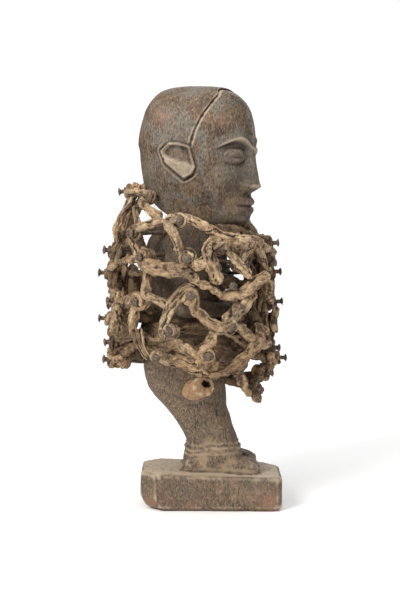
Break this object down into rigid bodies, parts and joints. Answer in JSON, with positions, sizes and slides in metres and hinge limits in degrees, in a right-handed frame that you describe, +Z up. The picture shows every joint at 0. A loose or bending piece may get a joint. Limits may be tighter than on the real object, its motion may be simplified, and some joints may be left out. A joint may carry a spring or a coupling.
{
  "type": "nail fetish figure",
  "caption": "Standing carved wooden figure on a block base, its trunk driven with nails that hold a net of hide and fibre cord.",
  "frame": {"origin": "middle of the block's flat underside, taken over the block before its corners were worn", "axes": "+Z up along the figure's height, -Y the way the figure's feet point, -X its own right hand, towards which its head is turned"},
  "size_m": [0.1961, 0.2047, 0.4484],
  "materials": {
    "patinated_wood": "hand-carved, dark worn patina with traces of red pigment",
    "hide_and_fibre": "dry, dusty, rough",
    "matted_fibre": "matted, crusted",
    "rusted_iron": "forged, dark rust"
  },
  "bodies": {
    "root": {"carved_figure": "patinated_wood", "cord_net": "hide_and_fibre", "waist_binding": "matted_fibre", "nail_01": "rusted_iron", "nail_02": "rusted_iron", "nail_03": "rusted_iron", "nail_04": "rusted_iron", "nail_05": "rusted_iron", "nail_06": "rusted_iron", "nail_07": "rusted_iron", "nail_08": "rusted_iron", "nail_09": "rusted_iron", "nail_10": "rusted_iron", "nail_11": "rusted_iron", "nail_12": "rusted_iron", "nail_13": "rusted_iron", "nail_14": "rusted_iron", "nail_15": "rusted_iron", "nail_16": "rusted_iron", "nail_17": "rusted_iron", "nail_18": "rusted_iron", "nail_19": "rusted_iron", "nail_20": "rusted_iron", "nail_21": "rusted_iron", "nail_22": "rusted_iron", "nail_23": "rusted_iron", "nail_24": "rusted_iron", "nail_25": "rusted_iron", "nail_26": "rusted_iron", "nail_27": "rusted_iron", "nail_28": "rusted_iron", "nail_29": "rusted_iron", "nail_30": "rusted_iron", "nail_31": "rusted_iron", "nail_32": "rusted_iron", "nail_33": "rusted_iron", "nail_34": "rusted_iron", "nail_35": "rusted_iron", "nail_36": "rusted_iron", "nail_37": "rusted_iron", "nail_38": "rusted_iron", "nail_39": "rusted_iron", "nail_40": "rusted_iron", "nail_41": "rusted_iron", "nail_42": "rusted_iron", "nail_43": "rusted_iron", "nail_44": "rusted_iron", "nail_45": "rusted_iron", "nail_46": "rusted_iron", "nail_47": "rusted_iron"}
  },
  "joints": []
}
